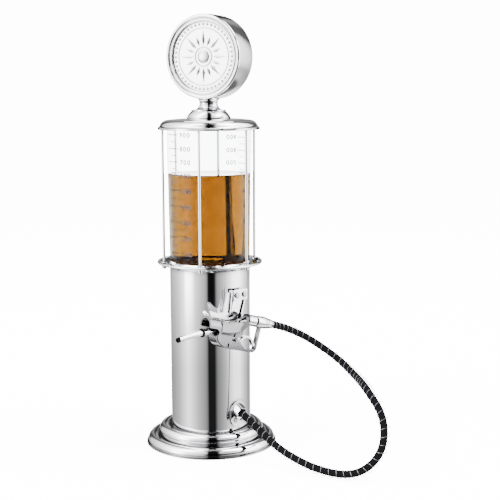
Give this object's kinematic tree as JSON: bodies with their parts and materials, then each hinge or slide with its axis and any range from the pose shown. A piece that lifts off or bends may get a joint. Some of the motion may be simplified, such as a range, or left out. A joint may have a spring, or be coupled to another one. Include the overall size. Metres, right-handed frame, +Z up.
{
  "type": "drink dispenser tower",
  "caption": "Tabletop drink dispenser like an old filling-station pump: clear tank in a rod cage on a chrome column, round sign on top, hose and a nozzle tap on a side holster.",
  "frame": {"origin": "centre of the base pad's underside, on the column's axis", "axes": "+Z up; the tank's scale side, the front, faces -Y; the nozzle hangs on the +X side with its spout towards -Y"},
  "size_m": [0.3146, 0.207, 0.4952],
  "materials": {
    "chrome": "polished",
    "cast_chrome": "plated over a lightly pebbled casting",
    "satin_chrome": "satin plated",
    "steel": "bright zinc",
    "spring_steel": "bright drawn",
    "clear": "clear moulded",
    "black_rubber": "matt",
    "white_seal": "satin",
    "silicone": "translucent",
    "black_plastic": "gloss",
    "valve_brass": "turned",
    "face_print": "raised pattern on white"
  },
  "bodies": {
    "stand": {"base_cover": "chrome", "base_plate": "steel", "base_pad": "black_rubber", "column_foot_ring": "steel", "base_screws": "steel", "column_tube": "chrome", "column_top_ring": "steel", "collar_dish": "chrome", "collar_screws": "steel", "rod_nuts": "chrome", "rod_sockets": "chrome", "cage_ring": "chrome", "tank": "clear", "tank_seat_ring": "black_rubber", "outlet_fitting": "chrome", "outlet_washer": "white_seal", "outlet_spacer": "white_seal", "outlet_nut": "steel", "drain_tube": "silicone", "tube_clamps": "steel", "wall_elbow": "black_plastic", "wall_nut": "steel", "hose_boss": "chrome", "boss_screws": "steel", "hose_gland": "black_rubber", "hose": "black_rubber", "holster": "chrome", "holster_screws": "steel", "cage_rod_1": "chrome", "cage_rod_2": "chrome", "cage_rod_3": "chrome", "cage_rod_4": "chrome", "cage_rod_5": "chrome", "cage_rod_6": "chrome"},
    "lid": {"lid_shell": "chrome", "lid_liner": "white_seal", "finial": "chrome", "stud_nuts": "steel", "sign_stud": "steel"},
    "sign": {"sign_socket": "chrome", "sign_drum": "chrome", "sign_bezel_front": "chrome", "sign_bezel_back": "chrome", "sign_face": "face_print", "sign_back": "chrome"},
    "nozzle": {"gun_body": "cast_chrome", "gun_cheek": "satin_chrome", "gun_handle": "chrome", "handle_ring": "black_rubber", "coupling_nut": "chrome", "hose_ferrule": "chrome", "hanger_bar": "steel", "neck_nut": "chrome", "neck_ring": "black_rubber", "spout": "chrome", "spout_tip": "black_rubber", "trigger_pin": "steel"},
    "trigger": {"trigger": "chrome"},
    "valve": {"valve_stem": "valve_brass", "valve_spring": "spring_steel"}
  },
  "joints": [
    {"name": "lid_lift", "type": "slide", "parent": "stand", "child": "lid", "axis": [0, 0, 1], "range_m": [0, 0.12]},
    {"name": "sign_turn", "type": "hinge", "parent": "lid", "child": "sign", "pos_m": [0, 0, 0.4], "axis": [0, 0, 1], "range_deg": [-90, 90]},
    {"name": "nozzle_lift", "type": "slide", "parent": "stand", "child": "nozzle", "axis": [0, 0.2756, 0.9613], "range_m": [0, 0.02]},
    {"name": "trigger_pull", "type": "hinge", "parent": "nozzle", "child": "trigger", "pos_m": [0.0645, -0.01891, 0.13667], "axis": [1, 0, 0], "range_deg": [0, 16], "stiffness_Nm_per_rad": 0.5, "springref_deg": -8.02},
    {"name": "stem_slide", "type": "slide", "parent": "nozzle", "child": "valve", "axis": [0, 0.2756, 0.9613], "range_m": [0, 0.0025], "deforming": ["valve_spring"]}
  ],
  "couplings": [
    {"joint": "stem_slide", "follows": "trigger_pull", "m_per_rad": 0.00895}
  ]
}
